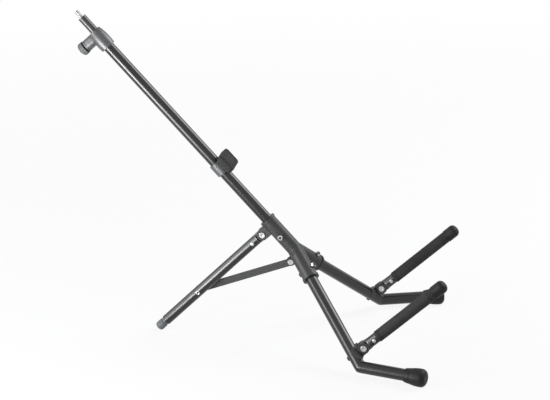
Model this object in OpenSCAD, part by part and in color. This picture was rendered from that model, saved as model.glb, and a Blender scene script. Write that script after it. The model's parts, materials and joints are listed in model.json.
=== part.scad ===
// Folding tilt-back stand for a combo amplifier, with a telescoping mast that carries a microphone boom.
// Lengths are in millimetres and angles in degrees. +X is the stand's width, -Y its front, +Z up.
// The origin is on the floor, midway between the frontmost and the rearmost point, in the middle plane.

/* [Stance] */
// Lean of the mast and the front legs back from upright
recline = 41.8; // [36:0.1:46]
// Lean of the rear leg from upright
rear_leg_lean = 46.1; // [43:0.1:50]
// Run from the hub's pivot line down to the bend above the foot, along the mast's line
front_leg_run = 311; // [290:1:340]
// Distance of each foot's bend from the middle plane
bend_half_width = 183; // [165:1:205]
// Distance below the hub's pivot line at which the front legs' lines cross
leg_crossing_drop = 70; // [66:1:76]
// Outward turn of each foot from straight ahead
foot_splay = 16.5; // [8:0.5:26]
// Length of a foot, from the bend to the middle of its sole
foot_reach = 132; // [115:1:160]

/* [Tubes] */
// Outer diameter of the front leg tubes
front_tube_d = 25; // [24:0.5:26]
// Outer diameter of the mast
mast_tube_d = 24; // [23:0.1:24.6]
// Outer diameter of the rear leg and the support arms
main_tube_d = 22; // [21.5:0.1:22.6]
// Outer diameter of the extension tube
slide_tube_d = 18; // [17.4:0.1:18.2]
// Wall of the leg and arm tubes
tube_wall = 1.5; // [1.2:0.1:2]
// Wall of the mast and the extension tube
mast_wall = 1.2; // [1:0.1:1.4]

/* [Mast] */
// Length of the mast tube above the hub's pivot line
mast_rise = 526.5; // [420:0.5:600]
// Depth of the mast tube's end below the hub's pivot line
mast_drop = 50; // [40:1:52]
// Length of the extension tube
slide_len = 437; // [330:1:470]
// Length of the extension tube that stands out of the clamp collar
slide_out = 37.5; // [32:0.5:120]
// Length of the microphone stud's thread
stud_len = 17; // [12:0.5:22]
// Diameter of the microphone stud's thread, a 3/8 inch thread
stud_d = 9.525; // [9.5:0.005:9.55]

/* [Clamp] */
// Length of the clamp collar
collar_len = 44.5; // [40:0.5:54]
// Length of mast tube that the clamp collar holds
collar_grip = 21.5; // [15:0.5:21.5]
// Radius of the clamp collar at its lower end
collar_base_r = 16.1; // [15.5:0.1:18]
// Radius of the clamp collar at its upper end
collar_top_r = 13.6; // [13:0.1:15]
// Swell of the clamp collar between its ends
collar_swell = 1; // [0.4:0.1:2]
// Set-back of the clamp collar towards its boss
collar_set_back = 0.6; // [0.3:0.1:2]
// Diameter of the boss that holds the clamp screw
boss_d = 25; // [22:0.5:25]
// Distance of the boss's face from the mast's centre line
boss_reach = 34.5; // [30:0.5:44]
// Diameter of the clamp screw
clamp_screw_d = 8; // [6:0.5:8]
// Diameter of the clamp knob
knob_d = 28; // [25:0.5:34]
// Thickness of the clamp knob
knob_t = 13.3; // [10:0.1:16]
// Gap between the boss and the clamp knob
knob_gap = 3; // [1:0.1:4]
// Number of finger grooves around the clamp knob
knob_flutes = 16; // [8:1:20]

/* [Hub] */
// Wall of the hub's sockets
socket_wall = 4; // [3.5:0.1:4.6]
// Length of a front leg's socket, from where the legs' lines cross
leg_socket_len = 78; // [70:1:90]
// Start of a front leg's tube, from where the legs' lines cross
leg_start = 26; // [24:1:30]
// Height of the hub above the rear leg's pivot line
hub_rise = 18; // [15:1:26]
// Distance of the rear leg's pivot from the mast's centre line
rear_pivot_back = 30; // [29.5:0.5:34]
// Diameter of the hub's bolts
hub_bolt_d = 6; // [5:0.5:6]

/* [Rear leg and brace] */
// Distance along the rear leg from the mast's centre line to the brace's rivet
rivet_run = 227; // [200:1:250]
// Rise of the brace from the rear leg to the hub, from level
brace_rise = 19.6; // [18:0.1:22]
// Width of the brace's flat bar
strap_w = 15.5; // [14:0.5:17]
// Thickness of the brace's flat bar
strap_t = 4; // [3:0.5:4]
// Distance of the brace's pivot from the mast's centre line
brace_pin_back = 32; // [30:0.5:36]
// Diameter of the brace's pivot pin
brace_pin_d = 8; // [6:0.5:8]
// Diameter of the tubular rivet's flanges
rivet_flange_d = 9; // [8.5:0.5:11]

/* [Support arms] */
// Distance of the support arms' centre lines below the hub's pivot line
arm_drop = 287.5; // [275:0.5:290]
// Reach of a support arm in front of the mast's centre line, with its cap
arm_reach = 246; // [200:1:280]
// Distance of an arm's hinge pin in front of the mast's centre line
arm_pivot_front = 28.5; // [28:0.5:32]
// Outer diameter of the rubber sleeve on a support arm
sleeve_d = 25; // [24:0.5:26]
// Length of the rubber cap on a support arm
arm_cap_len = 30; // [24:1:40]
// Outer diameter of the rubber cap on a support arm
arm_cap_d = 27; // [26:0.5:29]
// Diameter of the hinge pins
hinge_pin_d = 8; // [6:0.5:8]
// Width of a hinge tongue between its two ears
tongue_w = 8; // [6:0.5:8]
// Thickness of a hinge ear
ear_t = 4; // [3:0.2:4]

/* [Feet] */
// Largest diameter of a foot's rubber cap
foot_cap_d = 37.6; // [34:0.2:42]
// Depth of the flat that each rubber foot stands on
sole_flat = 0.4; // [0.3:0.1:0.8]
// Diameter of the rear leg's rubber plug
plug_d = 20; // [19:0.5:21]
// Length of the neck between the rear leg's tube and the head of its plug
plug_neck_len = 8; // [5:0.5:10]

/* [Backrest] */
// Height of the backrest's middle above the hub's pivot line
backrest_rise = 165; // [120:1:220]
// Distance of the backrest's face in front of the mast's centre line
backrest_front = 30; // [27:0.5:36]
// Width of the backrest pad
backrest_w = 64; // [50:1:90]
// Height of the backrest pad
backrest_h = 40; // [34:1:60]

/* [Fits] */
// Radial clearance of a part that turns or slides
running_gap = 0.05; // [0.02:0.01:0.1]
// Clearance of a fixed part in its seat
seat_gap = 0.1; // [0.05:0.01:0.2]
// Clearance beside a part that folds
side_gap = 0.3; // [0.2:0.05:0.5]

/* [Hidden] */
$fn = 64;

front_tube_r = front_tube_d / 2;
mast_tube_r = mast_tube_d / 2;
main_tube_r = main_tube_d / 2;
slide_tube_r = slide_tube_d / 2;
foot_cap_r = foot_cap_d / 2;
mast_bore_r = mast_tube_r - mast_wall;
slide_bore_r = slide_tube_r - mast_wall;
arm_bore_r = main_tube_r - tube_wall;
stud_r = stud_d / 2;

// Height of a foot tube's centre line, which sets the height of the hub
foot_axis_z = foot_cap_r - sole_flat;
hub_z = foot_axis_z + front_leg_run * cos(recline);

// Directions in the mast's own frame, where +Z runs up the mast and +Y points to the rear
leg_fan = atan2(bend_half_width, front_leg_run - leg_crossing_drop);
leg_line_len = norm([bend_half_width, front_leg_run - leg_crossing_drop]);
leg_dir = [sin(leg_fan), 0, cos(leg_fan)];
foot_dir = [-sin(foot_splay), -cos(foot_splay) * cos(recline), -cos(foot_splay) * sin(recline)];
bend_angle = acos(leg_dir * foot_dir);
elbow_swell = 0.06;
foot_normal = (leg_dir - foot_dir * cos(bend_angle)) / sin(bend_angle);

// Foot cap, measured along the foot from the middle of its sole
cap_back = 34;
cap_front = 11.5;
cap_mouth_r = front_tube_r + 2;
cap_flare_end = 12;
cap_corner = 11;
cap_end_wall = 9;
foot_tube_len = foot_reach + cap_front - cap_end_wall;

// Clamp, measured along the mast
collar_bottom = mast_rise - collar_grip;
collar_top = collar_bottom + collar_len;
collar_edge = 0.8;
boss_drop = 0.4;
clamp_z = collar_top - boss_d / 2 - boss_drop;
slide_top = collar_top + slide_out;
slide_bottom = slide_top - slide_len;
stud_top = slide_top + stud_len;
knob_back = boss_reach + knob_gap;
knob_corner = 2.5;
clamp_shoe_t = 3;
clamp_nut_af = 13;
clamp_nut_h = 6.5;

// Rear leg, measured along its own line from the mast's centre line
leg_spread = 180 - recline - rear_leg_lean;
rear_pivot_run = rear_pivot_back / sin(leg_spread);
rear_pivot_z = rear_pivot_run * cos(leg_spread);
knuckle_shoulder = 14;
knuckle_flange_t = 2;
knuckle_spigot_len = 24;
knuckle_rivet_d = 5;
knuckle_rivet_z = knuckle_shoulder + knuckle_flange_t + 13;
rivet_head_t = 1.2;
ear_r = main_tube_r + 1;
plug_corner_r = 4;
plug_head_r = plug_d / 2;
plug_neck_r = 7.8;
rear_leg_total = (hub_z + sole_flat - plug_corner_r - (plug_head_r - plug_corner_r) * sin(rear_leg_lean))
    / cos(rear_leg_lean) + plug_corner_r;
plug_len = 24;
rear_tube_end = rear_leg_total - plug_len;

// Brace, in the mast's own frame
brace_slope = recline - brace_rise;
strap_in_x = main_tube_r + 2;
strap_out_x = strap_in_x + strap_t;
strap_half = strap_w / 2;
rivet_shank_r = 3;
rivet_y = rivet_run * sin(leg_spread);
rivet_z = rivet_run * cos(leg_spread);
brace_len = (rivet_y - brace_pin_back) / cos(brace_slope);
brace_pin_r = brace_pin_d / 2;
brace_pin_z = rivet_z - brace_len * sin(brace_slope);
notch_r = rivet_shank_r + side_gap;
notch_flare = 28;
notch_step = 0.06;
eye_swell = 1;
nose_swell = 2;
lug_t = 4;
lug_r = 10;
lug_in_x = strap_out_x + side_gap;

// Support arms
arm_x = bend_half_width - (front_leg_run - arm_drop) * tan(leg_fan);
arm_tube_end = arm_reach - arm_pivot_front - 5;
sleeve_start = knuckle_shoulder + knuckle_flange_t + 8;
sleeve_end = arm_reach - arm_pivot_front - arm_cap_len;
bracket_face = arm_pivot_front - main_tube_r - side_gap;
bracket_w = 34;
bracket_h = 26;
bracket_wrap = 6;
bracket_bolt_d = 6;
arm_cap_corner = 10;
stud_chamfer = 1;

// Small pieces
head_h = 3;
nut_h = 5;
hub_head_r = 5;
hub_nut_af = 10;
pin_head_h = 2.5;
pin_head_r = hinge_pin_d / 2 + 2.5;
socket_r = front_tube_r + socket_wall;
mast_socket_r = mast_tube_r + socket_wall;
ring_t = 1.5;
ring_h = 5;
leg_bolt_run = 56;
mast_bolt_z = -28;

// Frontmost and rearmost points, which place the origin midway between them
front_y = -(arm_reach - arm_cap_corner) * cos(recline)
    - (arm_drop + arm_cap_d / 2 - arm_cap_corner) * sin(recline) - arm_cap_corner;
rear_y = (stud_top - stud_chamfer) * sin(recline) + stud_r * cos(recline);
hub_y = -(front_y + rear_y) / 2;

// Puts a shape drawn in the mast's own frame in its place on the stand
module on_mast() {
    translate([0, hub_y, hub_z]) rotate([-recline, 0, 0]) children();
}

// Puts a shape drawn along +Z in the rear leg's place; +Y is the leg's underside
module on_rear_leg() {
    on_mast() rotate([-leg_spread, 0, 0]) children();
}

// Puts a shape drawn along +Z, with +Y up, in the place of the left support arm
module on_arm() {
    on_mast() translate([-arm_x, -arm_pivot_front, -arm_drop]) rotate([90, 0, 0]) children();
}

// Puts a shape in the frame of the left foot: +X along the foot, +Z towards the front leg
module on_foot() {
    side = cross(foot_normal, foot_dir);
    on_mast() multmatrix([
        [foot_dir[0], side[0], foot_normal[0], -bend_half_width],
        [foot_dir[1], side[1], foot_normal[1], 0],
        [foot_dir[2], side[2], foot_normal[2], -front_leg_run],
        [0, 0, 0, 1]
    ]) children();
}

// Puts a shape drawn along +Z in the place of the left front leg, from where the legs' lines cross
module on_front_leg() {
    on_mast() translate([0, 0, -leg_crossing_drop]) rotate([0, leg_fan + 180, 0]) children();
}

// Draws its children on the left, or mirrored on the right
module on_side(right) {
    if (right) mirror([1, 0, 0]) children();
    else children();
}

// Everything below the floor, which cuts the soles flat
module floor_block() {
    translate([-1000, -1000, -60]) cube([2000, 2000, 60]);
}

// A rod along X, centred on the middle plane unless it is moved
module rod_x(r, x0, x1) {
    translate([x0, 0, 0]) rotate([0, 90, 0]) cylinder(r = r, h = x1 - x0);
}

// A straight tube along Z
module tube_z(r, wall, z0, z1) {
    difference() {
        translate([0, 0, z0]) cylinder(r = r, h = z1 - z0);
        translate([0, 0, z0 - 1]) cylinder(r = r - wall, h = z1 - z0 + 2);
    }
}

// A solid of revolution with a rounded far edge, along Z
module rounded_rod(r, corner, z0, z1) {
    rotate_extrude() union() {
        translate([0, z0]) square([r, z1 - z0 - corner]);
        translate([0, z1 - corner - 0.01]) square([r - corner, corner + 0.01]);
        translate([r - corner, z1 - corner]) intersection() {
            circle(r = corner);
            square(corner);
        }
    }
}

// The core of a front leg, from its end in the hub over the elbow to its end in the cap.
// The ball in the elbow is a hair thicker than the two straight runs that meet in it.
module elbow_rod(r, start, far) {
    rotate([0, 90, 0]) cylinder(r = r, h = far);
    rotate([0, 90 - bend_angle, 0]) cylinder(r = r, h = leg_line_len - start);
    sphere(r = r + elbow_swell);
}

// The blade of a hinge, along +Z from its pin to its shoulder; a heel below it stops an arm at rest
module hinge_tongue(heel) {
    difference() {
        union() {
            rod_x(main_tube_r, -tongue_w / 2, tongue_w / 2);
            translate([-tongue_w / 2, -main_tube_r, 0]) cube([tongue_w, main_tube_d, knuckle_shoulder + 0.01]);
            if (heel) translate([-tongue_w / 2, -main_tube_r, -main_tube_r]) cube([tongue_w, main_tube_r, main_tube_r + 1]);
            translate([0, 0, knuckle_shoulder]) cylinder(r = main_tube_r, h = knuckle_flange_t);
            translate([0, 0, knuckle_shoulder + knuckle_flange_t - 0.01])
                cylinder(r = arm_bore_r - seat_gap, h = knuckle_spigot_len);
        }
        rod_x(hinge_pin_d / 2 + running_gap, -tongue_w, tongue_w);
        translate([0, 0, knuckle_rivet_z]) rod_x(knuckle_rivet_d / 2 + running_gap, -main_tube_d, main_tube_d);
    }
}
// A rivet across the tube that holds the hinge tongue's spigot
module knuckle_rivet() {
    translate([0, 0, knuckle_rivet_z]) {
        rod_x(knuckle_rivet_d / 2, -main_tube_r - rivet_head_t, main_tube_r + rivet_head_t);
        for (side = [-1, 1]) translate([side * (main_tube_r + seat_gap + rivet_head_t / 2), 0, 0])
            rod_x(knuckle_rivet_d / 2 + 1.5, -rivet_head_t / 2, rivet_head_t / 2);
    }
}

// A hinge pin with a head on both ends
module hinge_pin() {
    ear_out = tongue_w / 2 + side_gap + ear_t;
    rod_x(hinge_pin_d / 2, -ear_out - pin_head_h, ear_out + pin_head_h);
    for (side = [-1, 1]) translate([side * (ear_out + pin_head_h / 2 + seat_gap / 2), 0, 0])
        rod_x(pin_head_r, -pin_head_h / 2, pin_head_h / 2);
}

// Two ears with their pin hole; they reach back by the given depth to what carries them
module hinge_ears(r, depth) {
    for (side = [-1, 1]) difference() {
        union() {
            translate([side * (tongue_w / 2 + side_gap + ear_t / 2), 0, 0]) rod_x(r, -ear_t / 2, ear_t / 2);
            translate([side * (tongue_w / 2 + side_gap + ear_t / 2) - ear_t / 2, -r, -depth])
                cube([ear_t, 2 * r, depth]);
        }
        rod_x(hinge_pin_d / 2 + running_gap, -40, 40);
    }
}

module hub_casting() color("#1b1b1d") on_mast() difference() {
    union() {
        translate([0, 0, -leg_crossing_drop]) cylinder(r = mast_socket_r, h = leg_crossing_drop + hub_rise);
        translate([0, 0, hub_rise - ring_h]) cylinder(r = mast_socket_r + ring_t, h = ring_h);
        for (side = [-1, 1]) translate([0, 0, -leg_crossing_drop]) rotate([0, side * (180 - leg_fan), 0]) {
            cylinder(r = socket_r, h = leg_socket_len);
            translate([0, 0, leg_socket_len - ring_h]) cylinder(r = socket_r + ring_t, h = ring_h);
        }
        translate([-24, -5, -leg_crossing_drop - 44]) cube([48, 10, 46]);
        translate([0, rear_pivot_back, rear_pivot_z]) rotate([-90, 0, 0]) hinge_ears(ear_r, rear_pivot_back - 6);
        translate([lug_in_x, 0, brace_pin_z - lug_r]) cube([lug_t, brace_pin_back, 2 * lug_r]);
        translate([0, brace_pin_back, brace_pin_z]) rod_x(lug_r, lug_in_x, lug_in_x + lug_t);
    }
    translate([0, 0, -mast_drop - 1]) cylinder(r = mast_tube_r + seat_gap, h = mast_drop + hub_rise + 2);
    for (side = [-1, 1]) translate([0, 0, -leg_crossing_drop]) rotate([0, side * (180 - leg_fan), 0]) {
        translate([0, 0, leg_start - 1]) cylinder(r = front_tube_r + seat_gap, h = leg_socket_len);
        translate([0, -40, leg_bolt_run]) rotate([-90, 0, 0])
            cylinder(r = hub_bolt_d / 2 + seat_gap, h = 80);
    }
    translate([0, 0, mast_bolt_z]) rod_x(hub_bolt_d / 2 + seat_gap, -40, 40);
    translate([0, brace_pin_back, brace_pin_z]) rod_x(brace_pin_r + running_gap, 0, 40);
}

// Places a copy of its children at each of the hub's three bolts, which point along +Z
module at_hub_bolts() {
    on_mast() {
        for (side = [-1, 1]) translate([0, 0, -leg_crossing_drop]) rotate([0, side * (180 - leg_fan), 0])
            translate([0, 0, leg_bolt_run]) rotate([-90, 0, 0]) children(0);
        translate([0, 0, mast_bolt_z]) rotate([0, 90, 0]) children(1);
    }
}

// A button-head bolt through a socket of the given radius
module through_bolt(r) {
    translate([0, 0, -r - nut_h - 2]) cylinder(r = hub_bolt_d / 2, h = 2 * r + nut_h + 3);
    translate([0, 0, r + seat_gap]) rounded_rod(hub_head_r, 1.5, 0, head_h);
}

// The nut on the other end of such a bolt
module bolt_nut(r) {
    translate([0, 0, -r - seat_gap - nut_h]) difference() {
        cylinder(d = hub_nut_af / cos(30), h = nut_h, $fn = 6);
        translate([0, 0, -1]) cylinder(r = hub_bolt_d / 2 + running_gap, h = nut_h + 2);
    }
}

module hub_bolts() color("#3a3b3d") at_hub_bolts() {
    through_bolt(socket_r);
    through_bolt(mast_socket_r);
}

module hub_nuts() color("#8d8f92") at_hub_bolts() {
    bolt_nut(socket_r);
    bolt_nut(mast_socket_r);
}

module mast_tube() color("#151517") on_mast() difference() {
    tube_z(mast_tube_r, mast_wall, -mast_drop, mast_rise);
    translate([0, 0, mast_bolt_z]) rod_x(hub_bolt_d / 2 + seat_gap, -40, 40);
}

module slide_tube() color("#232326") on_mast() tube_z(slide_tube_r, mast_wall, slide_bottom, slide_top);

module slide_guide() color("#c9c9c4") on_mast() {
    translate([0, 0, slide_bottom - 12]) cylinder(r = mast_bore_r - 2 * running_gap, h = 12 - seat_gap);
    translate([0, 0, slide_bottom - 1]) cylinder(r = slide_bore_r - running_gap, h = 18);
}

module stud_plug() color("#1d1d1f") on_mast() difference() {
    translate([0, 0, slide_top - 26]) cylinder(r = slide_bore_r - running_gap, h = 26);
    translate([0, 0, slide_top - 20]) cylinder(r = stud_r - 1 + running_gap, h = 21);
}

module threaded_stud() color("#b9bcc0") on_mast() {
    translate([0, 0, slide_top - 19]) cylinder(r = stud_r - 1, h = 20);
    translate([0, 0, slide_top + seat_gap]) cylinder(r = stud_r, h = stud_len - stud_chamfer - seat_gap);
    translate([0, 0, stud_top - stud_chamfer]) cylinder(r1 = stud_r, r2 = stud_r - stud_chamfer, h = stud_chamfer);
}

module clamp_collar() color("#2f3032") on_mast() difference() {
    union() {
        translate([0, collar_set_back, collar_bottom]) rotate_extrude() polygon(concat(
            [[0, 0], [collar_base_r - collar_edge, 0]],
            [for (i = [0:12]) let (t = i / 12) [
                collar_base_r + 4 * collar_swell * t * (1 - t) - (collar_base_r - collar_top_r) * pow(t, 3),
                collar_edge + t * (collar_len - 2 * collar_edge)]],
            [[collar_top_r - collar_edge, collar_len], [0, collar_len]]));
        translate([0, 0, clamp_z]) rotate([-90, 0, 0]) rotate_extrude()
            polygon([[0, 2], [boss_d / 2 - 1.5, 2], [boss_d / 2, 15], [boss_d / 2, boss_reach], [0, boss_reach]]);
    }
    translate([0, 0, collar_bottom - 1]) cylinder(r = mast_tube_r + seat_gap, h = collar_grip + 1 + seat_gap);
    translate([0, 0, collar_bottom]) cylinder(r = slide_tube_r + running_gap, h = collar_len + 1);
    translate([0, 0, clamp_z]) rotate([-90, 0, 0]) {
        cylinder(r = clamp_screw_d / 2 + 2 * seat_gap, h = boss_reach + 1);
        cylinder(r = clamp_screw_d / 2 + 1 + seat_gap, h = slide_tube_r + clamp_shoe_t + 2);
        translate([0, 0, 20]) cylinder(d = (clamp_nut_af + 0.3) / cos(30), h = clamp_nut_h + seat_gap, $fn = 6);
        for (z = [boss_reach - 2.6, boss_reach - 5]) translate([0, 0, z]) difference() {
            cylinder(r = boss_d / 2 + 1, h = 0.9);
            translate([0, 0, -1]) cylinder(r = boss_d / 2 - 0.5, h = 3);
        }
    }
}

module clamp_nut() color("#b0a468") on_mast() translate([0, 0, clamp_z]) rotate([-90, 0, 0])
    translate([0, 0, 20 + seat_gap / 2]) difference() {
        cylinder(d = clamp_nut_af / cos(30), h = clamp_nut_h, $fn = 6);
        translate([0, 0, -1]) cylinder(r = clamp_screw_d / 2 + running_gap, h = clamp_nut_h + 2);
    }

module clamp_shoe() color("#b08d3f") on_mast() difference() {
    translate([0, 0, clamp_z]) rotate([-90, 0, 0]) translate([0, 0, slide_tube_r - 2])
        cylinder(r = clamp_screw_d / 2 + 1, h = clamp_shoe_t + 2);
    translate([0, 0, clamp_z - 20]) cylinder(r = slide_tube_r + running_gap, h = 40);
}

module clamp_screw() color("#9fa2a6") on_mast() translate([0, 0, clamp_z]) rotate([-90, 0, 0])
    translate([0, 0, slide_tube_r + clamp_shoe_t + seat_gap])
        cylinder(r = clamp_screw_d / 2, h = knob_back + 8 - slide_tube_r - clamp_shoe_t - seat_gap);

module clamp_knob() color("#242426") on_mast() translate([0, 0, clamp_z]) rotate([-90, 0, 0])
    translate([0, 0, knob_back]) difference() {
        rounded_rod(knob_d / 2, knob_corner, 0, knob_t);
        for (i = [0:knob_flutes - 1]) rotate([0, 0, i * 360 / knob_flutes]) translate([knob_d / 2 + 0.9, 0, -1])
            cylinder(r = 1.6, h = knob_t + 2, $fn = 24);
        translate([0, 0, -1]) cylinder(r = clamp_screw_d / 2 + seat_gap, h = 9 + seat_gap);
    }

module front_leg() color("#121214") difference() {
    on_foot() elbow_rod(front_tube_r, leg_start, foot_tube_len);
    on_foot() elbow_rod(front_tube_r - tube_wall, leg_start - 1, foot_tube_len + 1);
    on_front_leg() translate([0, -40, leg_bolt_run]) rotate([-90, 0, 0]) cylinder(r = hub_bolt_d / 2 + seat_gap, h = 80);
    arm_bolt_hole();
}

// The hole through the left front leg for its bracket's bolt
module arm_bolt_hole() {
    on_mast() translate([-arm_x, -front_tube_r - 6, -arm_drop]) rotate([-90, 0, 0])
        cylinder(r = bracket_bolt_d / 2 + seat_gap, h = 60);
}

module left_front_leg() on_side(false) front_leg();
module right_front_leg() on_side(true) front_leg();

module foot_cap() color("#1e1e20") difference() {
    on_foot() translate([foot_reach, 0, 0]) rotate([0, 90, 0]) rotate_extrude() union() {
        polygon([[0, -cap_back], [cap_mouth_r - 0.6, -cap_back], [cap_mouth_r, -cap_back + 0.8],
            [foot_cap_r - 0.6, -cap_flare_end], [foot_cap_r, -cap_flare_end / 3],
            [foot_cap_r, cap_front - cap_corner], [0, cap_front - cap_corner]]);
        translate([0, cap_front - cap_corner - 0.1]) square([foot_cap_r - cap_corner, cap_corner + 0.1]);
        translate([foot_cap_r - cap_corner, cap_front - cap_corner]) intersection() {
            circle(r = cap_corner);
            square(cap_corner);
        }
    }
    on_foot() translate([foot_reach - cap_back - 1, 0, 0]) rotate([0, 90, 0])
        cylinder(r = front_tube_r + seat_gap, h = cap_back + 1 + cap_front - cap_end_wall + seat_gap);
    floor_block();
}

module left_foot_cap() on_side(false) foot_cap();
module right_foot_cap() on_side(true) foot_cap();

// The lug that carries a support arm: a saddle on the front leg with two ears
module arm_bracket() color("#1b1b1d") difference() {
    union() {
        intersection() {
            on_arm() translate([-bracket_w / 2, -bracket_h / 2, -arm_pivot_front + 3])
                cube([bracket_w, bracket_h, bracket_face - 3]);
            on_front_leg() cylinder(r = front_tube_r + bracket_wrap, h = leg_line_len + 60);
        }
        on_arm() hinge_ears(main_tube_r + 1, arm_pivot_front - bracket_face + 1);
    }
    on_front_leg() cylinder(r = front_tube_r + seat_gap, h = leg_line_len + 60);
    on_arm() translate([0, 0, -arm_pivot_front]) cylinder(r = bracket_bolt_d / 2 + running_gap, h = bracket_face - 2);
}

module left_arm_bracket() on_side(false) arm_bracket();
module right_arm_bracket() on_side(true) arm_bracket();

// Bolts that come in from behind the front legs and screw into the two brackets
module arm_bracket_bolts() color("#3a3b3d") for (right = [false, true]) on_side(right)
    on_arm() translate([0, 0, -arm_pivot_front]) {
        translate([0, 0, -front_tube_r - 1]) cylinder(r = bracket_bolt_d / 2, h = front_tube_r + bracket_face - 3);
        rotate([180, 0, 0]) translate([0, 0, front_tube_r + seat_gap]) rounded_rod(hub_head_r, 1.5, 0, head_h);
    }

module left_arm_pin() color("#8d8f92") on_side(false) on_arm() hinge_pin();
module right_arm_pin() color("#8d8f92") on_side(true) on_arm() hinge_pin();

module left_arm_knuckle() color("#2a2a2c") on_side(false) on_arm() hinge_tongue(true);
module right_arm_knuckle() color("#2a2a2c") on_side(true) on_arm() hinge_tongue(true);

module left_arm_rivet() color("#8d8f92") on_side(false) on_arm() knuckle_rivet();
module right_arm_rivet() color("#8d8f92") on_side(true) on_arm() knuckle_rivet();

module arm_tube() color("#151517") on_arm() difference() {
    tube_z(main_tube_r, tube_wall, knuckle_shoulder + knuckle_flange_t + seat_gap, arm_tube_end);
    translate([0, 0, knuckle_rivet_z]) rod_x(knuckle_rivet_d / 2 + running_gap, -40, 40);
}

module left_arm_tube() on_side(false) arm_tube();
module right_arm_tube() on_side(true) arm_tube();

module arm_sleeve() color("#1c1c1e") on_arm()
    tube_z(sleeve_d / 2, sleeve_d / 2 - main_tube_r - seat_gap, knuckle_rivet_z + 8, sleeve_end - seat_gap);

module left_arm_sleeve() on_side(false) arm_sleeve();
module right_arm_sleeve() on_side(true) arm_sleeve();

module arm_cap() color("#2c2d2f") on_arm() difference() {
    rounded_rod(arm_cap_d / 2, arm_cap_corner, sleeve_end, arm_reach - arm_pivot_front);
    translate([0, 0, sleeve_end - 1]) cylinder(r = main_tube_r + seat_gap, h = arm_tube_end - sleeve_end + 1 + seat_gap);
}

module left_arm_cap() on_side(false) arm_cap();
module right_arm_cap() on_side(true) arm_cap();

module rear_pivot_pin() color("#8d8f92") on_mast() translate([0, rear_pivot_back, rear_pivot_z]) hinge_pin();

module rear_leg_knuckle() color("#2a2a2c") on_rear_leg() translate([0, 0, rear_pivot_run]) hinge_tongue(false);

module rear_leg_rivet() color("#8d8f92") on_rear_leg() translate([0, 0, rear_pivot_run]) knuckle_rivet();

module rear_leg_tube() color("#17171a") on_rear_leg() difference() {
    tube_z(main_tube_r, tube_wall, rear_pivot_run + knuckle_shoulder + knuckle_flange_t + seat_gap, rear_tube_end);
    translate([0, 0, rear_pivot_run + knuckle_rivet_z]) rod_x(knuckle_rivet_d / 2 + running_gap, -40, 40);
    translate([0, 0, rivet_run]) rod_x(rivet_shank_r + running_gap, -40, 40);
}
module rear_leg_plug() color("#3a3b3d") difference() {
    on_rear_leg() {
        translate([0, 0, rear_tube_end - 22]) cylinder(r = arm_bore_r - seat_gap, h = 22);
        translate([0, 0, rear_tube_end - 1]) cylinder(r = plug_neck_r, h = plug_neck_len);
        translate([0, 0, rear_tube_end + plug_neck_len - 4]) cylinder(r1 = plug_neck_r, r2 = plug_head_r, h = 3.01);
        rounded_rod(plug_head_r, plug_corner_r, rear_tube_end + plug_neck_len - 1, rear_leg_total);
    }
    floor_block();
}

// A tubular rivet through the rear leg; its far end stands out as the stud that the brace hooks over
module brace_rivet() color("#c4c6c9") on_rear_leg() translate([0, 0, rivet_run]) difference() {
    union() {
        rod_x(rivet_shank_r, -main_tube_r - rivet_head_t, strap_out_x + side_gap + rivet_head_t);
        difference() {
            rod_x(rivet_flange_d / 2, -main_tube_r - rivet_head_t, -main_tube_r + 1);
            translate([0, 0, -20]) cylinder(r = main_tube_r + seat_gap, h = 40);
        }
        rod_x(rivet_flange_d / 2, strap_out_x + side_gap, strap_out_x + side_gap + rivet_head_t);
    }
    rod_x(rivet_shank_r - 1.1, -40, 40);
}

module brace_washer() color("#c9c9c4") on_rear_leg() translate([0, 0, rivet_run]) difference() {
    rod_x(rivet_shank_r + 2, main_tube_r + seat_gap, strap_in_x - side_gap);
    rod_x(rivet_shank_r + running_gap, 0, 40);
}

// The flat bar, drawn from its pivot on the hub towards the rear leg, with a downward notch over the stud
module brace_strap() color("#3b3d3f") on_mast() translate([strap_in_x, brace_pin_back, brace_pin_z])
    rotate([brace_slope, 0, 0]) difference() {
        union() {
            rod_x(strap_half + eye_swell, 0, strap_t);
            translate([0, 0, -strap_half]) cube([strap_t, brace_len + strap_w, strap_w]);
        }
        rod_x(brace_pin_r + running_gap, -1, strap_t + 1);
        translate([0, brace_len, 0]) {
            rod_x(notch_r, -1, strap_t + 1);
            for (turn = [0, -notch_flare]) rotate([turn, 0, 0])
                translate([-1, -notch_r + notch_step, -strap_w])
                    cube([strap_t + 2, 2 * (notch_r - notch_step), strap_w]);
            difference() {
                translate([-1, strap_half / 2, -strap_w]) cube([strap_t + 2, 2 * strap_w, 2 * strap_w]);
                rod_x(strap_half + nose_swell, -2, strap_t + 2);
            }
        }
    }

module brace_pivot_pin() color("#8d8f92") on_mast() translate([0, brace_pin_back, brace_pin_z]) {
    rod_x(brace_pin_r, strap_in_x - 1.2, lug_in_x + lug_t + 1.5);
    rod_x(brace_pin_r + 2, strap_in_x - 1.4, strap_in_x - seat_gap);
    rod_x(brace_pin_r + 2, lug_in_x + lug_t + seat_gap, lug_in_x + lug_t + 2.5);
}

// The carrier that grips the mast behind the pad
module backrest_clip() color("#1d1d1f") on_mast() translate([0, 0, backrest_rise]) difference() {
    union() {
        translate([0, 0, -14]) cylinder(r = mast_tube_r + 3.5, h = 28);
        translate([-backrest_w / 2 + 4, -backrest_front + 10, -backrest_h / 2 + 4])
            cube([backrest_w - 8, 5, backrest_h - 8]);
        translate([-10, -backrest_front + 12, -14]) cube([20, backrest_front - 16, 28]);
    }
    translate([0, 0, -40]) cylinder(r = mast_tube_r + seat_gap, h = 80);
    translate([-6, 4, -20]) cube([12, 20, 40]);
}

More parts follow.
